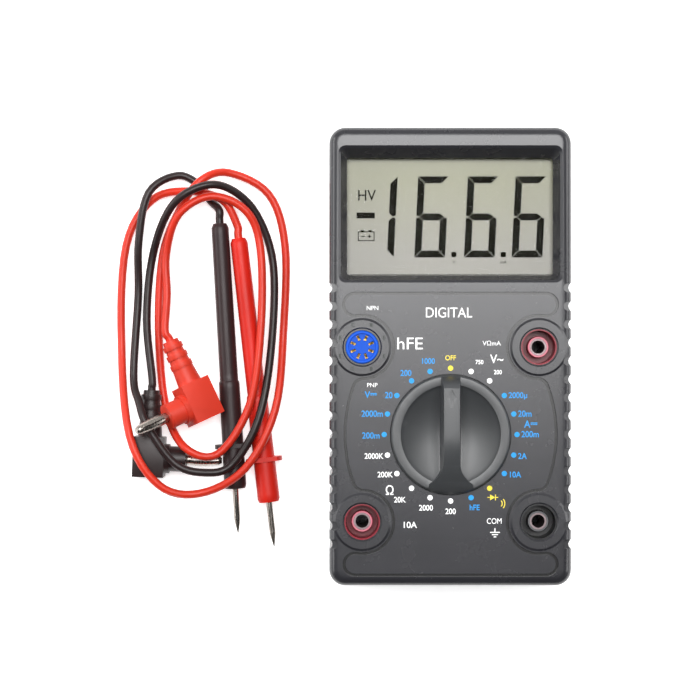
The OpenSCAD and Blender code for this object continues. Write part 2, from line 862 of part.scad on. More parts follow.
// Thick low-ohm bar that carries the high current range.
module shunt_bar() {
    bar_r = 0.8;
    bar_x = 17;
    bar_z = 15.5;
    color("darkgoldenrod")
        translate([0, shunt_y, 0]) {
            translate([-bar_x, 0, bar_z])
                rotate([0, 90, 0])
                    cylinder(r = bar_r, h = 2 * bar_x);
            for (sx = [-1, 1])
                translate([sx * bar_x, 0, bar_z]) {
                    sphere(r = bar_r);
                    cylinder(r = bar_r, h = board_z - bar_z);
                }
        }
}
module buzzer_disc() {
    color(brass)
        translate([0, buzzer_y, floor_z])
            cylinder(r = 10, h = 0.3);
    color("ivory")
        translate([0, buzzer_y, floor_z + 0.3 - eps])
            cylinder(r = 7, h = 0.25);
}
module buzzer_wires() {
    color("red")
        for (x = [0, 8.5])
            translate([x, buzzer_y, floor_z + (x == 0 ? 0.54 : 0.3)])
                cylinder(r = 0.5, h = board_z - floor_z - (x == 0 ? 0.54 : 0.3));
}
module chip_blob() {
    blob_h = 1.6;
    blob_w = 6.5;
    ball = (pow(blob_w, 2) + pow(blob_h, 2)) / (2 * blob_h);
    edge = asin(blob_w / ball);
    color("black")
        translate([0, 6, board_z])
            rotate_extrude()
                polygon(concat(
                    [[0, 0]],
                    [for (i = [6:-1:1])
                        [ball * sin(edge * i / 6), ball - blob_h - ball * cos(edge * i / 6)]],
                    [[0, -blob_h]]
                ));
}
module resistors() {
    body_l = 5.5;
    body_r = 1;
    color("tan")
        for (x = [-24, -17, -10, 12, 19, 26], y = [-37, -25])
            translate([x, y, board_z - body_r - 0.3]) {
                rotate([90, 0, 0])
                    cylinder(r = body_r, h = body_l, center = true);
                rotate([90, 0, 0])
                    cylinder(r = 0.3, h = body_l + 3, center = true);
                for (sy = [-1, 1])
                    translate([0, sy * (body_l / 2 + 1.3), 0])
                        cylinder(r = 0.3, h = body_r + 0.3);
            }
}
module capacitors() {
    color("midnightblue")
        for (p = [[-8, 16], [8, 16], [22, -10], [-20, -10]])
            translate([p[0], p[1], board_z - 7])
                difference() {
                    cylinder(r = 2.5, h = 7);
                    translate([0, 0, 5.6])
                        tube(3, 2.3, 0.5);
                }
}
module calibration_trimmer() {
    color("royalblue")
        translate([20, 17, board_z])
            difference() {
                union() {
                    translate([-3, -3, -3.6])
                        cube([6, 6, 3.6]);
                    translate([0, 0, -4.4])
                        cylinder(r = 1.8, h = 1);
                }
                translate([-2, -0.3, -5])
                    cube([4, 0.6, 1.2]);
            }
}

// Test leads. Each cable runs from its plug, round the coil, to its probe; a point is its place
// on the table and the height of the cable's middle there, raised where it crosses others.
cable_r = cable_d / 2;
probe_z = 4.2;
red_probe_top = [-67.2, 38.2];
red_probe_turn = 6.6;
black_probe_top = [-73.3, 43];
black_probe_turn = 3.4;
red_plug_at = [-80.7, -13.2, 7.4];
red_plug_turn = 24.8;
red_plug_tilt = 27;
black_plug_at = [-96, -31, 4.9];
black_plug_turn = -2;
relief_l = 20;
plug_r = 4.1;
pin_l = 11.5;

function turned(v, a) = [v[0] * cos(a) - v[1] * sin(a), v[0] * sin(a) + v[1] * cos(a), v[2]];
function above_table(points) =
    [for (p = spline(points, 6)) [p[0], p[1], max(p[2], cable_r + 0.05)]];
function relief_end(at, turn, reach) = at + turned([0, reach, 0], turn);
function leave_plug(at, turn) = [for (reach = [-1, 1, 4]) relief_end(at, turn, relief_l + reach)];
function enter_probe(top, turn) =
    [for (reach = [4.5, 1.5, -1.5]) relief_end([top[0], top[1], probe_z], turn, reach)];

red_path = above_table(concat(leave_plug(red_plug_at, red_plug_turn), [
    [-90.3, 20, 5.2], [-90.6, 33, 5], [-86.4, 45.6, 7.8], [-75.9, 51.6, 7.7],
    [-64.6, 46.9, 6.6], [-60, 34.3, 5.2], [-59.8, 8.5, 8.6], [-63.4, -15.8, 9.1],
    [-73.5, -31.4, 10], [-84.2, -29.2, 10.6], [-91, -16.5, 2.4], [-93.4, 8.5, 1.4],
    [-92, 33, 1.5], [-86.2, 47.6, 4.7], [-79.2, 56.8, 6.9], [-70.4, 59.6, 3], [-57.5, 52.7, 1.4],
    [-52.2, 35.9, 1.4], [-52.7, 8.5, 1.4], [-55.2, -17.4, 8.2], [-64.9, -36.2, 9.8],
    [-79.5, -44.2, 8.6], [-92.4, -41.3, 11.3], [-101.8, -25.4, 11.3], [-105.5, 5.2, 1.4],
    [-104, 35.9, 1.4], [-95.6, 50.8, 1.5], [-83.7, 53.6, 3.4], [-72.4, 50.6, 4.7]
], enter_probe(red_probe_top, red_probe_turn)));
black_path = above_table(concat(leave_plug(black_plug_at, black_plug_turn), [
    [-97.2, 12, 2], [-95.2, 33.3, 1.6], [-88.6, 48.2, 8.6], [-79, 54.6, 9.6],
    [-70.2, 54.2, 7], [-61.5, 46.2, 3.5], [-56, 29.4, 1.6], [-56.6, 2, 6],
    [-60.6, -20.6, 9.2], [-69.1, -35, 9.4], [-78, -37.4, 10.4], [-87.4, -34.4, 10.8],
    [-96, -22.6, 11.2], [-99, -14.8, 8.9], [-101.2, -6, 4.6], [-100, 20, 1.6], [-99.6, 37, 4.3],
    [-96.3, 53, 4.7], [-87.2, 58.8, 2], [-80, 55.6, 1.4], [-76.6, 50.7, 1.4]
], enter_probe(black_probe_top, black_probe_turn)));

// Right-angle banana plug. The cable leaves along +Y, and the nose points along -X.
module plug_body() {
    block_w = 10;
    block_l = 13;
    relief_r = 3.4;
    difference() {
        union() {
            translate([-block_w / 2, -block_l / 2 - 1.5, -plug_r - 0.6])
                cube([block_w, block_l, 2 * plug_r + 1.2]);
            translate([-block_w / 2, -2, 0])
                rotate([0, -90, 0]) {
                    cylinder(r = plug_r, h = 7);
                    cylinder(r = plug_r + 0.7, h = 1.6);
                }
            translate([0, 4.5, 0])
                rotate([-90, 0, 0]) {
                    cylinder(r1 = relief_r + 0.6, r2 = relief_r - 0.8, h = relief_l - 4.5);
                    for (i = [0:2])
                        translate([0, 0, 6 + 3.2 * i])
                            cylinder(r = relief_r + 0.3 - 0.2 * i, h = 1.7);
                }
        }
        translate([0, relief_l - 3, 0])
            rotate([-90, 0, 0])
                cylinder(r = cable_r + 0.03, h = 10);
        translate([-block_w / 2 - 4, -2, 0])
            rotate([0, -90, 0])
                cylinder(r = 1.5 + 0.02, h = 10);
    }
}
// Split spring pin that stands out of the plug's nose.
module plug_pin() {
    pin_r = 1.95;
    nose_end = 12;
    translate([-nose_end + 2.9, -2, 0])
        rotate([0, -90, 0])
            difference() {
                union() {
                    cylinder(r = 1.5, h = 3);
                    translate([0, 0, 2.95])
                        rotate_extrude()
                            polygon([[0, 0], [1.6, 0], [pin_r, 3], [pin_r, 6], [1.5, pin_l - 1],
                                [0.9, pin_l], [0, pin_l]]);
                }
                for (turn = [0, 90])
                    rotate([0, 0, turn])
                        translate([-3, -0.2, 4.5])
                            cube([6, 0.4, pin_l - 3.4]);
            }
}
module place_red_plug() {
    translate(red_plug_at)
        rotate([0, 0, red_plug_turn])
            rotate([0, red_plug_tilt, 0])
                children();
}
module place_black_plug() {
    translate(black_plug_at)
        rotate([0, 0, black_plug_turn])
            mirror([1, 0, 0])
                children();
}
// Probe along -Y from the cable end: slim upper handle, thicker lower half, guard and nose.
module probe_handle() {
    guard_y = 71.5;
    guard_r = 5.9;
    guard_t = 1.4;
    step_y = 51;
    rotate([90, 0, 0])
        difference() {
            union() {
                rotate_extrude()
                    polygon([[0, 0], [2.2, 0], [2.8, 1.4], [3, step_y], [3.35, step_y + 0.6],
                        [3.5, guard_y], [3.6, probe_l - 1], [3.2, probe_l], [0, probe_l]]);
                translate([0, 0, guard_y])
                    intersection() {
                        cylinder(r = guard_r, h = guard_t);
                        translate([-guard_r, -3.9, 0])
                            cube([2 * guard_r, 7.8, guard_t]);
                    }
            }
            translate([0, 0, -1])
                cylinder(r = cable_r + 0.03, h = 4);
            translate([0, 0, probe_l - 4])
                cylinder(r = 1.03, h = 5);
        }
}
module probe_tip() {
    translate([0, -probe_l + 3.9, 0])
        rotate([90, 0, 0])
            rotate_extrude()
                polygon([[0, 0], [1, 0], [1, tip_l - 0.6], [0.75, tip_l + 1], [0.15, tip_l + 3.9],
                    [0, tip_l + 3.9]]);
}
module place_red_probe() {
    translate([red_probe_top[0], red_probe_top[1], probe_z])
        rotate([0, 0, red_probe_turn])
            children();
}
module place_black_probe() {
    translate([black_probe_top[0], black_probe_top[1], probe_z])
        rotate([0, 0, black_probe_turn])
            children();
}
module red_cable() { color("tomato") cable(red_path, cable_r); }
module red_plug_body() { color("tomato") place_red_plug() plug_body(); }
module red_plug_pin() { color(metal) place_red_plug() plug_pin(); }
module red_probe_handle() { color("red") place_red_probe() probe_handle(); }
module red_probe_tip() { color(metal) place_red_probe() probe_tip(); }
module black_cable() { color("black") cable(black_path, cable_r); }
module black_plug_body() { color("black") place_black_plug() plug_body(); }
module black_plug_pin() { color(metal) place_black_plug() plug_pin(); }
module black_probe_handle() { color("black") place_black_probe() probe_handle(); }
module black_probe_tip() { color(metal) place_black_probe() probe_tip(); }

rear_case();
front_case();
display_window();
lcd_panel();
lcd_frame();
zebra_strips();
circuit_board();
board_screws();
case_screws();
jack_insert_volt();
jack_insert_10a();
jack_insert_com();
jack_sleeves();
transistor_socket();
socket_contacts();
selector_knob();
detent_balls();
detent_springs();
contact_wipers();
battery();
battery_terminals();
battery_snap();
battery_wire_red();
battery_wire_black();
battery_cover();
tilt_stand();
fuse_glass();
fuse_caps();
fuse_clips();
shunt_bar();
buzzer_disc();
buzzer_wires();
chip_blob();
resistors();
capacitors();
calibration_trimmer();
red_cable();
red_plug_body();
red_plug_pin();
red_probe_handle();
red_probe_tip();
black_cable();
black_plug_body();
black_plug_pin();
black_probe_handle();
black_probe_tip();
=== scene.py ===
import math

import bmesh
import bpy
from mathutils import Matrix, Vector


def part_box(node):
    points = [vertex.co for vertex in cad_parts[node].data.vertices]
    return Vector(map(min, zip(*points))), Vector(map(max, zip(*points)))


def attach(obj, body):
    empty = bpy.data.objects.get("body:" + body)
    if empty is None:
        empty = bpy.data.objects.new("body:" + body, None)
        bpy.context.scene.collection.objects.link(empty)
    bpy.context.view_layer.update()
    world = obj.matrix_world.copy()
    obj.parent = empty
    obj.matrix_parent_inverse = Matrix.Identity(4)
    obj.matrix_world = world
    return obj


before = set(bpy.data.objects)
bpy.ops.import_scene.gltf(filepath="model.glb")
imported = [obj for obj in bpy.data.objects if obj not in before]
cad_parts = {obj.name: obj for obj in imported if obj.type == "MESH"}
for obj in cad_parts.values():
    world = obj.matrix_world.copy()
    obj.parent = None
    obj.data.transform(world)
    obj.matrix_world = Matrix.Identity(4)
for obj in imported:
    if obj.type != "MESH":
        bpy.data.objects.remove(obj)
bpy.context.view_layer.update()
MM = 0.001
LEVEL_REACH = 0.1


# ---------------------------------------------------------------- materials
def srgb(r, g, b):
    """An 8-bit screen colour as the linear colour that shaders use."""
    levels = [c / 255 for c in (r, g, b)]
    linear = [((c + 0.055) / 1.055) ** 2.4 if c > 0.0392 else c / 12.92 for c in levels]
    return (*linear, 1.0)


def new_material(name):
    mat = bpy.data.materials.new(name)
    mat.use_nodes = True
    tree = mat.node_tree
    return mat, tree, tree.nodes["Principled BSDF"]


def noise(tree, scale, detail=3.0, stretch=(1, 1, 1)):
    """Noise in the part's own coordinates; scale is in features per metre."""
    coords = tree.nodes.new("ShaderNodeTexCoord")
    mapping = tree.nodes.new("ShaderNodeMapping")
    mapping.inputs["Scale"].default_value = stretch
    tree.links.new(coords.outputs["Object"], mapping.inputs["Vector"])
    node = tree.nodes.new("ShaderNodeTexNoise")
    node.inputs["Scale"].default_value = scale
    node.inputs["Detail"].default_value = detail
    tree.links.new(mapping.outputs["Vector"], node.inputs["Vector"])
    return node


def ramp(tree, value, low, high, start=0.35, end=0.65):
    """Colour between low and high as value goes from start to end."""
    node = tree.nodes.new("ShaderNodeValToRGB")
    node.color_ramp.elements[0].position = start
    node.color_ramp.elements[1].position = end
    node.color_ramp.elements[0].color = low
    node.color_ramp.elements[1].color = high
    tree.links.new(value, node.inputs["Fac"])
    return node


def shade(colour, factor):
    """The same colour, darker or lighter."""
    return tuple(c * factor for c in colour[:3]) + (1.0,)


def grey(level):
    return (level, level, level, 1)


def add_bump(tree, bsdf, relief, strength, distance):
    """Roughens the surface with a noise node's value."""
    bump = tree.nodes.new("ShaderNodeBump")
    bump.inputs["Strength"].default_value = strength
    bump.inputs["Distance"].default_value = distance
    tree.links.new(relief.outputs["Fac"], bump.inputs["Height"])
    tree.links.new(bump.outputs["Normal"], bsdf.inputs["Normal"])


def edge_wear(tree, colour_out, wear, strength):
    """Lightens convex edges a little, where handling polishes them."""
    geometry = tree.nodes.new("ShaderNodeNewGeometry")
    edges = ramp(tree, geometry.outputs["Pointiness"], grey(0), grey(strength), 0.52, 0.60)
    mix = tree.nodes.new("ShaderNodeMix")
    mix.data_type = "RGBA"
    mix.inputs["B"].default_value = wear
    tree.links.new(edges.outputs["Color"], mix.inputs["Factor"])
    tree.links.new(colour_out, mix.inputs["A"])
    return mix.outputs["Result"]


def moulded(name, colour, rough=0.5, grain=0.05, grain_mm=0.35, vary=0.12, wear=0.25, spec=0.5, mottle=0.02):
    """Moulded plastic or rubber: cloudy colour, fine spark-eroded grain and polished edges."""
    mat, tree, bsdf = new_material(name)
    cloud = noise(tree, 45, 4)
    tint = ramp(tree, cloud.outputs["Fac"], shade(colour, 1 - vary), shade(colour, 1 + vary))
    worn = edge_wear(tree, tint.outputs["Color"], shade(colour, 1.8), wear)
    tree.links.new(worn, bsdf.inputs["Base Color"])
    patches = noise(tree, 160, 5)
    gloss = ramp(tree, patches.outputs["Fac"], grey(rough - mottle), grey(rough + mottle))
    tree.links.new(gloss.outputs["Color"], bsdf.inputs["Roughness"])
    bsdf.inputs["Specular IOR Level"].default_value = spec
    fine = noise(tree, 1000 / grain_mm, 2)
    add_bump(tree, bsdf, fine, grain, 0.1 * MM)
    return mat


def test_value(tree, operation, source, limit):
    """One where the source is above or below the limit, and zero elsewhere."""
    node = tree.nodes.new("ShaderNodeMath")
    node.operation = operation
    node.inputs[1].default_value = limit
    tree.links.new(source, node.inputs[0])
    return node.outputs["Value"]


def times(tree, first, second):
    node = tree.nodes.new("ShaderNodeMath")
    node.operation = "MULTIPLY"
    tree.links.new(first, node.inputs[0])
    tree.links.new(second, node.inputs[1])
    return node.outputs["Value"]


def z_of(tree, vector):
    node = tree.nodes.new("ShaderNodeSeparateXYZ")
    tree.links.new(vector, node.inputs["Vector"])
    return node.outputs["Z"]


def paint_level_light_and_shade(mat, colour, level_mm):
    """Paints light or shade into the colour of the level faces at one height: a painted highlight on a collar
    top, painted shade in a groove.
    """
    tree = mat.node_tree
    bsdf = tree.nodes["Principled BSDF"]
    normal_z = z_of(tree, tree.nodes.new("ShaderNodeNewGeometry").outputs["Normal"])
    height = z_of(tree, tree.nodes.new("ShaderNodeTexCoord").outputs["Object"])
    above = test_value(tree, "GREATER_THAN", height, (level_mm - LEVEL_REACH) * MM)
    below = test_value(tree, "LESS_THAN", height, (level_mm + LEVEL_REACH) * MM)
    level = test_value(tree, "GREATER_THAN", normal_z, 0.9)
    painted_level_mask = times(tree, times(tree, level, above), below)
    mix = tree.nodes.new("ShaderNodeMix")
    mix.data_type = "RGBA"
    mix.inputs["B"].default_value = colour
    base = bsdf.inputs["Base Color"].links[0].from_socket
    tree.links.new(painted_level_mask, mix.inputs["Factor"])
    tree.links.new(base, mix.inputs["A"])
    tree.links.new(mix.outputs["Result"], bsdf.inputs["Base Color"])


def metal(name, colour, rough=0.25, brushed=(1, 1, 1), tarnish=0.25):
    """Plated metal with fine turning marks and slight tarnish."""
    mat, tree, bsdf = new_material(name)
    bsdf.inputs["Metallic"].default_value = 1.0
    film = noise(tree, 260, 4)
    tint = ramp(tree, film.outputs["Fac"], shade(colour, 1 - tarnish), colour)
    tree.links.new(tint.outputs["Color"], bsdf.inputs["Base Color"])
    marks = noise(tree, 1800, 2, brushed)
    gloss = ramp(tree, marks.outputs["Fac"], grey(rough - 0.06), grey(rough + 0.12))
    tree.links.new(gloss.outputs["Color"], bsdf.inputs["Roughness"])
    add_bump(tree, bsdf, marks, 0.08, 0.05 * MM)
    return mat


def clear(name, colour, rough=0.04, smear=0.05):
    """Clear moulding that light passes straight through, with faint smears in its gloss."""
    mat, tree, bsdf = new_material(name)
    smears = noise(tree, 90, 5, (1, 0.3, 1))
    gloss = ramp(tree, smears.outputs["Fac"], grey(rough), grey(rough + smear))
    tree.links.new(gloss.outputs["Color"], bsdf.inputs["Roughness"])
    bsdf.inputs["Base Color"].default_value = colour
    bsdf.inputs["Alpha"].default_value = 0.025
    mat.surface_render_method = "BLENDED"
    return mat


def lcd_glass(name):
    """Reflective display: grey-green, greener towards its upper corners, with a faint cell grain."""
    mat, tree, bsdf = new_material(name)
    coords = tree.nodes.new("ShaderNodeTexCoord")
    split = tree.nodes.new("ShaderNodeSeparateXYZ")
    tree.links.new(coords.outputs["Object"], split.inputs["Vector"])
    low, high = (p[1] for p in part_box("lcd_panel"))
    height = tree.nodes.new("ShaderNodeMapRange")
    height.inputs["From Min"].default_value = low
    height.inputs["From Max"].default_value = high
    tree.links.new(split.outputs["Y"], height.inputs["Value"])
    drift = noise(tree, 22, 3, (1, 0.6, 1))
    total = tree.nodes.new("ShaderNodeMath")
    total.operation = "MULTIPLY_ADD"
    total.inputs[1].default_value = 0.35
    tree.links.new(drift.outputs["Fac"], total.inputs[0])
    tree.links.new(height.outputs["Result"], total.inputs[2])
    tint = ramp(tree, total.outputs["Value"], srgb(145, 143, 134), srgb(139, 139, 113), 0.35, 1.1)
    cells = noise(tree, 2600, 2)
    mix = tree.nodes.new("ShaderNodeMix")
    mix.data_type = "RGBA"
    mix.blend_type = "MULTIPLY"
    mix.inputs["Factor"].default_value = 0.10
    tree.links.new(tint.outputs["Color"], mix.inputs["A"])
    tree.links.new(cells.outputs["Color"], mix.inputs["B"])
    tree.links.new(mix.outputs["Result"], bsdf.inputs["Base Color"])
    bsdf.inputs["Roughness"].default_value = 0.35
    return mat


def printed(name, colour, painted_glow=0.0, spec=0.3):
    """Pad-printed ink: slightly uneven coverage and a soft sheen; a glow above zero is painted light,
    emission that keeps the ink bright.
    """
    mat, tree, bsdf = new_material(name)
    cover = noise(tree, 1500, 3)
    tint = ramp(tree, cover.outputs["Fac"], shade(colour, 0.82), colour, 0.3, 0.55)
    tree.links.new(tint.outputs["Color"], bsdf.inputs["Base Color"])
    tree.links.new(tint.outputs["Color"], bsdf.inputs["Emission Color"])
    bsdf.inputs["Emission Strength"].default_value = painted_glow
    bsdf.inputs["Specular IOR Level"].default_value = spec
    bsdf.inputs["Roughness"].default_value = 0.45
    return mat


CASE = moulded("case_plastic", srgb(43, 43, 47), 0.27, 0.06, 0.30, 0.07, 0.25, 0.62, 0.006)
KNOB = moulded("knob_plastic", srgb(58, 60, 62), 0.40, 0.04, 0.30, 0.06, 0.3, 0.8)
STAND = moulded("stand_plastic", srgb(62, 62, 65), 0.5, 0.08, 0.35, 0.08, 0.3)
RED_CUP = moulded("red_cup_plastic", srgb(120, 12, 32), 0.35, 0.04, 0.4, 0.1, 0.9, 0.5)
BLACK_CUP = moulded("black_cup_plastic", srgb(20, 20, 22), 0.35, 0.04, 0.4, 0.15, 0.6)
BLUE = moulded("socket_plastic", srgb(20, 84, 200), 0.38, 0.04, 0.4, 0.08, 0.3, 0.12)
WHITE = moulded("frame_plastic", srgb(222, 222, 214), 0.45, 0.04, 0.4, 0.05, 0.1)
RUBBER = moulded("strip_rubber", srgb(210, 150, 150), 0.6, 0.05, 0.3, 0.12, 0.1)
BOARD = moulded("board_laminate", srgb(22, 92, 42), 0.35, 0.25, 1.2, 0.2, 0.1)
EPOXY = moulded("chip_epoxy", srgb(14, 14, 15), 0.2, 0.03, 0.8, 0.3, 0.2)
CERAMIC = moulded("resistor_coat", srgb(214, 180, 130), 0.5, 0.06, 0.3, 0.15, 0.2)
JACKET = moulded("battery_jacket", srgb(34, 42, 52), 0.3, 0.04, 0.6, 0.25, 0.5)
RED_VINYL = moulded("red_vinyl", srgb(208, 48, 28), 0.36, 0.05, 0.5, 0.08, 0.1, 0.35)
RED_PLUG = moulded("red_plug_vinyl", srgb(206, 54, 34), 0.46, 0.10, 0.4, 0.09, 0.1, 0.35)
RED_GRIP = moulded("red_grip", srgb(206, 34, 20), 0.42, 0.06, 0.4, 0.08, 0.1, 0.3)
BLACK_VINYL = moulded("black_vinyl", srgb(38, 28, 28), 0.36, 0.06, 0.5, 0.15, 0.4, 0.35)
BLACK_GRIP = moulded("black_grip", srgb(46, 31, 32), 0.40, 0.06, 0.4, 0.12, 0.4, 0.35)
RED_WIRE = moulded("red_wire", srgb(190, 30, 24), 0.35, 0.04, 0.4, 0.1, 0.2)
BLACK_WIRE = moulded("black_wire", srgb(24, 22, 22), 0.35, 0.04, 0.4, 0.1, 0.2)
STEEL = metal("screw_steel", srgb(190, 190, 188), 0.32)
NICKEL = metal("nickel_plate", srgb(178, 170, 162), 0.24, (1, 0.05, 1))
SLEEVE = metal("sleeve_nickel", srgb(142, 128, 130), 0.4)
BRASS = metal("contact_brass", srgb(214, 176, 96), 0.28)
COPPER = metal("shunt_alloy", srgb(176, 120, 84), 0.34)
WINDOW = clear("window_acrylic", (0.03, 0.035, 0.03, 1))
FUSE_GLASS = clear("fuse_glass", (0.2, 0.24, 0.24, 1))
LCD = lcd_glass("display_cell")
COLLAR_TOP = 32.0
GROOVE_FLOOR = 34.2
# Painted highlight: the level tops of the red cups' collars are pink, standing in for light on glossy red
# plastic.
paint_level_light_and_shade(RED_CUP, srgb(214, 120, 138), COLLAR_TOP)
# Painted shade: the groove floor round the panel is near black, standing in for the shade inside the groove.
paint_level_light_and_shade(CASE, srgb(16, 16, 17), GROOVE_FLOOR)
# Painted highlight: the level tops of the black cup's collar are grey, standing in for reflections on glossy
# black plastic.
paint_level_light_and_shade(BLACK_CUP, srgb(92, 92, 95), COLLAR_TOP)
INK_BLACK = printed("display_ink", srgb(18, 17, 10), 0.0, 0.0)
# White, blue and yellow inks glow a little: painted light, emission that keeps the print bright.
INK_WHITE = printed("white_ink", srgb(250, 250, 250), 0.35)
INK_BLUE = printed("blue_ink", srgb(32, 150, 225), 0.30)
INK_YELLOW = printed("yellow_ink", srgb(236, 214, 70), 0.25)
INK_DARK = printed("dark_ink", srgb(50, 56, 52))

NODE_MATERIAL = {
    "rear_case": CASE, "front_case": CASE, "battery_cover": CASE, "display_window": WINDOW,
    "lcd_panel": LCD, "lcd_frame": WHITE, "zebra_strips": RUBBER, "circuit_board": BOARD,
    "board_screws": STEEL, "case_screws": STEEL, "jack_insert_volt": RED_CUP,
    "jack_insert_10a": RED_CUP, "jack_insert_com": BLACK_CUP, "jack_sleeves": SLEEVE,
    "transistor_socket": BLUE, "socket_contacts": BRASS, "selector_knob": KNOB,
    "detent_balls": STEEL, "detent_springs": STEEL, "contact_wipers": BRASS, "battery": JACKET,
    "battery_terminals": STEEL, "battery_snap": BLACK_CUP, "battery_wire_red": RED_WIRE,
    "battery_wire_black": BLACK_WIRE, "tilt_stand": STAND, "fuse_glass": FUSE_GLASS,
    "fuse_caps": NICKEL, "fuse_clips": BRASS, "shunt_bar": COPPER, "buzzer_disc": BRASS,
    "buzzer_wires": RED_WIRE, "chip_blob": EPOXY, "resistors": CERAMIC, "capacitors": JACKET,
    "calibration_trimmer": BLUE, "red_cable": RED_VINYL, "red_plug_body": RED_PLUG,
    "red_plug_pin": NICKEL, "red_probe_handle": RED_GRIP, "red_probe_tip": NICKEL,
    "black_cable": BLACK_VINYL, "black_plug_body": BLACK_VINYL, "black_plug_pin": NICKEL,
    "black_probe_handle": BLACK_GRIP, "black_probe_tip": NICKEL,
}


# ---------------------------------------------------------------- CAD nodes
SOFT_EDGE_MM = {"selector_knob": 0.5, "red_plug_body": 0.9, "black_plug_body": 0.9, "tilt_stand": 0.5,
                "battery": 0.5}
CRISP_NODES = ("front_case", "rear_case", "battery_cover")
CRISP_ANGLE = 18
SMOOTH_ANGLE = 32


def finish_node(name):
    """Gives a CAD node its material and soft edges; its own mesh stays as it is."""
    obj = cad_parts[name]
    obj.data.materials.clear()
    obj.data.materials.append(NODE_MATERIAL[name])
    weld = obj.modifiers.new("Weld", "WELD")
    weld.merge_threshold = 0.002 * MM
    if name in SOFT_EDGE_MM:
        bevel = obj.modifiers.new("SoftEdges", "BEVEL")
        bevel.width = SOFT_EDGE_MM[name] * MM
        bevel.segments = 3
        bevel.limit_method = "ANGLE"
        bevel.angle_limit = math.radians(35)
        bevel.use_clamp_overlap = True
    for polygon in obj.data.polygons:
        polygon.use_smooth = True
    smooth_by_angle(obj, CRISP_ANGLE if name in CRISP_NODES else SMOOTH_ANGLE)


def smooth_by_angle(obj, degrees):
    """Splits the shading at edges sharper than the given angle."""
    split = obj.modifiers.new("SharpEdges", "EDGE_SPLIT")
    split.split_angle = math.radians(degrees)
    split.use_edge_sharp = False


for node_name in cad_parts:
    finish_node(node_name)


# ---------------------------------------------------------------- printing on the dial
KNOB_LOW, KNOB_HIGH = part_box("selector_knob")
DIAL = ((KNOB_LOW[0] + KNOB_HIGH[0]) / 2 / MM, (KNOB_LOW[1] + KNOB_HIGH[1]) / 2 / MM)
CASE_TOP = 35.0
PANEL_Z = CASE_TOP - 0.3
INK_T = 0.03
INK_LIFT = 0.01
MARK_T = 0.04
DOT_T = 0.05
DOT_R = 0.82
DOT_CIRCLE_R = 20.5
DOT_STEP = 18
DOT_GAP = 1.3


def new_piece(name, mesh, material, body="meter"):
    obj = bpy.data.objects.new(name, mesh)
    bpy.context.scene.collection.objects.link(obj)
    obj.data.materials.append(material)
    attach(obj, body)
    return obj


def prism_mesh(name, outlines, surface_z, thickness):
    """Closed flat prisms just above a surface, from a list of outlines; all in mm."""
    z0 = surface_z + INK_LIFT
    z1 = z0 + thickness
    mesh = bpy.data.meshes.new(name)
    bm = bmesh.new()
    for outline in outlines:
        low = [bm.verts.new((x * MM, y * MM, z0 * MM)) for x, y in outline]
        high = [bm.verts.new((x * MM, y * MM, z1 * MM)) for x, y in outline]
        count = len(outline)
        bm.faces.new(low[::-1])
        bm.faces.new(high)
        for i in range(count):
            j = (i + 1) % count
            bm.faces.new((low[i], low[j], high[j], high[i]))
    bmesh.ops.recalc_face_normals(bm, faces=bm.faces)
    bm.to_mesh(mesh)
    bm.free()
    return mesh


def circle(x, y, radius, count=28):
    return [(x + radius * math.cos(2 * math.pi * i / count), y + radius * math.sin(2 * math.pi * i / count))
            for i in range(count)]


def rectangle(x0, y0, x1, y1):
    return [(x0, y0), (x1, y0), (x1, y1), (x0, y1)]


def label(name, text, x, y, height, material, z=PANEL_Z, bold=0.0, wide=1.0,
          align="CENTER"):
    """Printed lettering beside or on x, y, with capitals of the given height."""
    curve = bpy.data.curves.new(name, "FONT")
    curve.body = text
    curve.align_x = align
    curve.align_y = "CENTER"
    curve.size = height * MM / 0.70
    curve.extrude = INK_T / 2 * MM
    curve.offset = bold * MM
    source = bpy.data.objects.new(name + "_source", curve)
    bpy.context.scene.collection.objects.link(source)
    mesh = bpy.data.meshes.new_from_object(source)
    bpy.data.objects.remove(source)
    place = Matrix.Translation((x * MM, y * MM, (z + INK_T / 2 + INK_LIFT) * MM))
    mesh.transform(place @ Matrix.Diagonal((wide, 1, 1, 1)))
    mesh.name = name
    mesh.materials.clear()
    return new_piece(name, mesh, material)


def dot_place(place):
    """Middle of a dot; the positions are counted clockwise from the top."""
    angle = math.radians(90 - DOT_STEP * place)
    return DIAL[0] + DOT_CIRCLE_R * math.cos(angle), DIAL[1] + DOT_CIRCLE_R * math.sin(angle)


def dial_dots():
    """One dot for each of the selector's positions, coloured by what the position measures."""
    inks = {INK_YELLOW: (0, 8), INK_WHITE: (1, 2, 10, 11, 12, 13, 14),
            INK_BLUE: (3, 4, 5, 6, 7, 9, 15, 16, 17, 18, 19)}
    for ink, places in inks.items():
        outlines = []
        for place in places:
            outlines.append(circle(*dot_place(place), DOT_R))
        mesh = prism_mesh("dots_" + ink.name, outlines, PANEL_Z, DOT_T)
        new_piece("Dots_" + ink.name, mesh, ink)


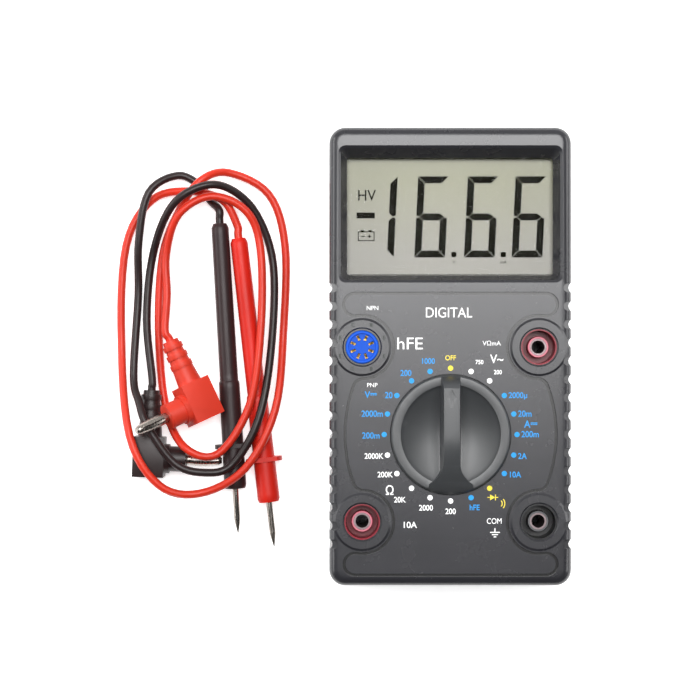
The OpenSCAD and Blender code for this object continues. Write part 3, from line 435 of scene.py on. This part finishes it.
def dial_labels():
    """Generic ranges and units: texts beside the dots first, then the ones above, below and apart."""
    beside = (
        # text, position of its dot, height, ink
        ("2000µ", 3, 1.8, INK_BLUE), ("20m", 4, 1.9, INK_BLUE), ("200m", 5, 1.9, INK_BLUE),
        ("2A", 6, 1.8, INK_BLUE), ("10A", 7, 1.8, INK_BLUE),
        ("200K", 13, 1.7, INK_WHITE), ("2000K", 14, 1.7, INK_WHITE), ("200m", 15, 1.9, INK_BLUE),
        ("2000m", 16, 1.9, INK_BLUE), ("20", 17, 1.9, INK_BLUE),
    )
    for text, place, height, ink in beside:
        x, y = dot_place(place)
        left = place > 10
        x += -DOT_GAP if left else DOT_GAP
        y -= 0.4 * (y < DIAL[1])
        label(f"Label_{place:02d}", text, x, y, height, ink, bold=0.03, wide=0.9,
              align="RIGHT" if left else "LEFT")
    apart = (
        # text, dx, dy, height, ink
        ("OFF", 0.0, 23.6, 1.5, INK_YELLOW), ("750", 8.9, 22.3, 1.3, INK_WHITE),
        ("200", 14.6, 19.2, 1.3, INK_WHITE), ("V~", 14.3, 23.2, 2.7, INK_WHITE),
        ("1000", -7.0, 22.6, 1.7, INK_BLUE), ("200", -13.8, 18.9, 1.8, INK_BLUE),
        ("V⎓", -24.6, 12.2, 2.1, INK_BLUE), ("20K", -15.7, -20.2, 1.7, INK_WHITE),
        ("A⎓", 24.8, 3.1, 2.2, INK_BLUE), ("Ω", -18.8, -17.4, 2.8, INK_WHITE),
        ("200", 0.0, -23.8, 1.7, INK_WHITE), ("2000", -7.6, -22.7, 1.7, INK_WHITE),
        ("hFE", 7.4, -22.6, 1.7, INK_BLUE),
    )
    for index, (text, dx, dy, height, ink) in enumerate(apart):
        label(f"Sign_{index:02d}", text, DIAL[0] + dx, DIAL[1] + dy, height, ink, bold=0.03, wide=0.9)
    jacks = {name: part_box("jack_insert_" + name) for name in ("volt", "10a", "com")}
    centre = {n: ((b[0][0] + b[1][0]) / 2 / MM, (b[0][1] + b[1][1]) / 2 / MM) for n, b in jacks.items()}
    label("Label_com", "COM", centre["com"][0] - 13.8, centre["com"][1] + 0.2, 1.7, INK_WHITE, wide=0.85)
    label("Label_volt", "VΩmA", centre["volt"][0] - 14.6, centre["volt"][1] + 1.1, 1.4, INK_WHITE)
    label("Label_high", "10A", centre["10a"][0] + 14.6, centre["10a"][1] - 1.0, 1.9, INK_WHITE, bold=0.03)
    label("Label_title", "DIGITAL", -0.6, 13.4, 3.1, INK_WHITE, wide=0.88)
    label("Label_hfe", "hFE", -12.6, 3.8, 3.7, INK_WHITE, wide=1.08)
    label("Label_npn", "NPN", -24.1, 14.9, 1.3, INK_WHITE)
    label("Label_pnp", "PNP", -24.2, -8.9, 1.3, INK_WHITE)
    x, y = centre["com"][0] - 13.6, centre["com"][1] - 3.2
    ground = [rectangle(x - 0.15, y, x + 0.15, y + 1.3)]
    ground += [rectangle(x - w, y - 0.7 * k - 0.15, x + w, y - 0.7 * k + 0.15)
               for k, w in enumerate((1.5, 0.95, 0.4))]
    mesh = prism_mesh("ground", ground, PANEL_Z, MARK_T)
    new_piece("Ground_Mark", mesh, INK_WHITE)


def buzzer_mark():
    """Diode and sound-wave sign beside the continuity position."""
    x, y = DIAL[0] + 13.6, DIAL[1] - 19.4
    shapes = [[(x - 1.4, y + 0.9), (x - 1.4, y - 0.9), (x + 0.1, y)],
              rectangle(x + 0.1, y - 0.9, x + 0.4, y + 0.9),
              rectangle(x - 2.2, y - 0.12, x - 1.4, y + 0.12),
              rectangle(x + 0.4, y - 0.12, x + 1.1, y + 0.12)]
    for k in range(2):
        r = 1.2 + 0.8 * k
        rim = [(x + 1.0 + (r + t) * math.cos(a), y - 1.9 + (r + t) * math.sin(a))
               for t, angles in ((0, range(-40, 41, 10)), (0.3, range(40, -41, -10)))
               for a in (math.radians(v) for v in angles)]
        shapes.append(rim)
    mesh = prism_mesh("buzzer_mark", shapes, PANEL_Z, MARK_T)
    new_piece("Buzzer_Mark", mesh, INK_YELLOW)


def socket_letters():
    """Pin letters in dark ink round the transistor socket."""
    low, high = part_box("transistor_socket")
    x0, y0 = (low[0] + high[0]) / 2 / MM, (low[1] + high[1]) / 2 / MM
    for i, letter in enumerate("EBCEECBE"):
        a = math.radians(22.5 + 45 * i)
        label(f"Pin_{i}", letter, x0 + 7.35 * math.cos(a), y0 + 7.35 * math.sin(a), 1.15, INK_DARK,
              z=CASE_TOP + 0.4, bold=0.04)


# ---------------------------------------------------------------- display digits
LCD_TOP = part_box("lcd_panel")[1][2] / MM
LCD_MID_Y = (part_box("lcd_panel")[0][1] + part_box("lcd_panel")[1][1]) / 2 / MM
SLANT = math.tan(math.radians(2.8))


def digit_segments(x, y, width, height, t, lit):
    """Bevelled seven-segment digit: a list of outlines for the lit segments."""
    half = height / 2
    gap = 0.14
    inner = t + gap * 0.5
    bars = {
        "a": [(gap, height), (width - gap, height), (width - inner, height - t), (inner, height - t)],
        "d": [(gap, 0), (inner, t), (width - inner, t), (width - gap, 0)],
        "g": [(gap + t * 0.35, half), (t + 0.2, half + t / 2), (width - t - 0.2, half + t / 2),
              (width - gap - t * 0.35, half), (width - t - 0.2, half - t / 2), (t + 0.2, half - t / 2)],
        "f": [(0, half + gap + 0.3), (0, height - gap), (t, height - t - gap), (t, half + t / 2 + gap),
              (t * 0.45, half + gap)],
        "e": [(0, gap), (0, half - gap - 0.3), (t * 0.45, half - gap), (t, half - t / 2 - gap), (t, t + gap)],
    }
    for left, right in (("f", "b"), ("e", "c")):
        bars[right] = [(width - px, py) for px, py in bars[left]][::-1]
    return [[(x + px + py * SLANT, y + py) for px, py in bars[s]] for s in lit]


def display_digits():
    height, width, bar = 25.3, 9.6, 2.15
    base = LCD_MID_Y - 12.5
    outlines = digit_segments(-27.0, base, width, height, bar, "bc")
    for x in (-11.0, 4.5, 19.4):
        outlines += digit_segments(x, base, width, height, bar, "afgedc")
    for x in (1.4, 16.8):
        outlines.append(rectangle(x - 0.8, base + 0.1, x + 0.8, base + 1.7))
    outlines.append(rectangle(-29.0, LCD_MID_Y - 0.3, -23.3, LCD_MID_Y + 1.5))
    x0, x1, y0, y1, w = -28.6, -23.4, LCD_MID_Y - 7.4, LCD_MID_Y - 4.4, 0.28
    outlines += [rectangle(x0, y0, x1, y0 + w), rectangle(x0, y1 - w, x1, y1), rectangle(x0, y0, x0 + w, y1),
                 rectangle(x1 - w, y0, x1, y1), rectangle(x0 + 0.9, y1, x0 + 1.9, y1 + 0.45),
                 rectangle(x1 - 1.9, y1, x1 - 0.9, y1 + 0.45),
                 rectangle(x0 + 1.0, y0 + 1.3, x0 + 2.2, y0 + 1.6),
                 rectangle(x1 - 2.2, y0 + 1.3, x1 - 1.0, y0 + 1.6),
                 rectangle(x1 - 1.75, y0 + 0.85, x1 - 1.45, y0 + 2.05)]
    mesh = prism_mesh("digits", outlines, LCD_TOP, MARK_T)
    new_piece("Display_Digits", mesh, INK_BLACK)
    label("Display_HV", "HV", -25.9, LCD_MID_Y + 6.7, 3.4, INK_BLACK, z=LCD_TOP, wide=0.9, bold=0.02)
    label("Display_unit_v", "V", 1.4, base - 1.5, 1.0, INK_BLACK, z=LCD_TOP)
    label("Display_unit_ma", "mA", 16.8, base - 1.5, 1.0, INK_BLACK, z=LCD_TOP)


dial_dots()
dial_labels()
buzzer_mark()
socket_letters()
display_digits()


# ---------------------------------------------------------------- floor, light and camera
def area_light(name, size, power, place, target, colour=(1, 1, 1)):
    data = bpy.data.lights.new(name, "AREA")
    data.shape = "RECTANGLE"
    data.size, data.size_y = size
    data.energy = power
    data.color = colour
    lamp = bpy.data.objects.new(name, data)
    bpy.context.scene.collection.objects.link(lamp)
    lamp.location = place
    lamp.rotation_euler = (Vector(target) - Vector(place)).to_track_quat("-Z", "Y").to_euler()


def see_through_from_below(tree, bsdf):
    """The underside of the floor is invisible, so that the meter's back can be looked at."""
    side = tree.nodes.new("ShaderNodeNewGeometry")
    front = tree.nodes.new("ShaderNodeMath")
    front.operation = "SUBTRACT"
    front.inputs[0].default_value = 1.0
    tree.links.new(side.outputs["Backfacing"], front.inputs[1])
    tree.links.new(front.outputs["Value"], bsdf.inputs["Alpha"])


def build_floor():
    mat, tree, bsdf = new_material("floor_paper")
    fibre = noise(tree, 300, 3)
    tint = ramp(tree, fibre.outputs["Fac"], (0.93, 0.93, 0.93, 1), (0.96, 0.96, 0.96, 1))
    tree.links.new(tint.outputs["Color"], bsdf.inputs["Base Color"])
    tree.links.new(tint.outputs["Color"], bsdf.inputs["Emission Color"])
    bsdf.inputs["Emission Strength"].default_value = 0.65
    bsdf.inputs["Roughness"].default_value = 0.9
    bsdf.inputs["Specular IOR Level"].default_value = 0.0
    see_through_from_below(tree, bsdf)
    mesh = bpy.data.meshes.new("floor")
    reach = 3.0
    corners = [(-reach, -reach, 0), (reach, -reach, 0), (reach, reach, 0), (-reach, reach, 0)]
    mesh.from_pydata(corners, [], [(0, 1, 2, 3)])
    mesh.materials.append(mat)
    floor = bpy.data.objects.new("Floor", mesh)
    bpy.context.scene.collection.objects.link(floor)
    floor.location.z = -0.05 * MM


def build_camera():
    """Straight above, a little left of the meter, so that the leads are in view."""
    data = bpy.data.cameras.new("Camera")
    data.lens = 100
    data.sensor_width = 36
    camera = bpy.data.objects.new("Camera", data)
    bpy.context.scene.collection.objects.link(camera)
    camera.location = (-31.05 * MM, 2.0 * MM, 635 * MM)
    bpy.context.scene.camera = camera


def build_world():
    world = bpy.data.worlds.new("Studio")
    world.use_nodes = True
    background = world.node_tree.nodes["Background"]
    tree = world.node_tree
    coords = tree.nodes.new("ShaderNodeTexCoord")
    split = tree.nodes.new("ShaderNodeSeparateXYZ")
    tree.links.new(coords.outputs["Generated"], split.inputs["Vector"])
    sky = ramp(tree, split.outputs["Y"], (0.04, 0.04, 0.04, 1), (0.75, 0.75, 0.75, 1), 0.0, 0.8)
    tree.links.new(sky.outputs["Color"], background.inputs["Color"])
    background.inputs["Strength"].default_value = 0.8
    bpy.context.scene.world = world
    bpy.context.scene.view_settings.view_transform = "Standard"


build_floor()
build_camera()
build_world()
area_light("Key", (0.9, 0.62), 15.0, (0.0, 0.315, 1.15), (0.0, 0.315, 0))
for side in (-1, 1):
    area_light("Side" + str(side), (0.8, 0.25), 2.8, (side * 0.75, 0.12, 0.32), (0, 0.02, 0.03))
area_light("Fill", (0.6, 0.6), 0.8, (-0.7, 0.2, 0.7), (-0.03, 0, 0))
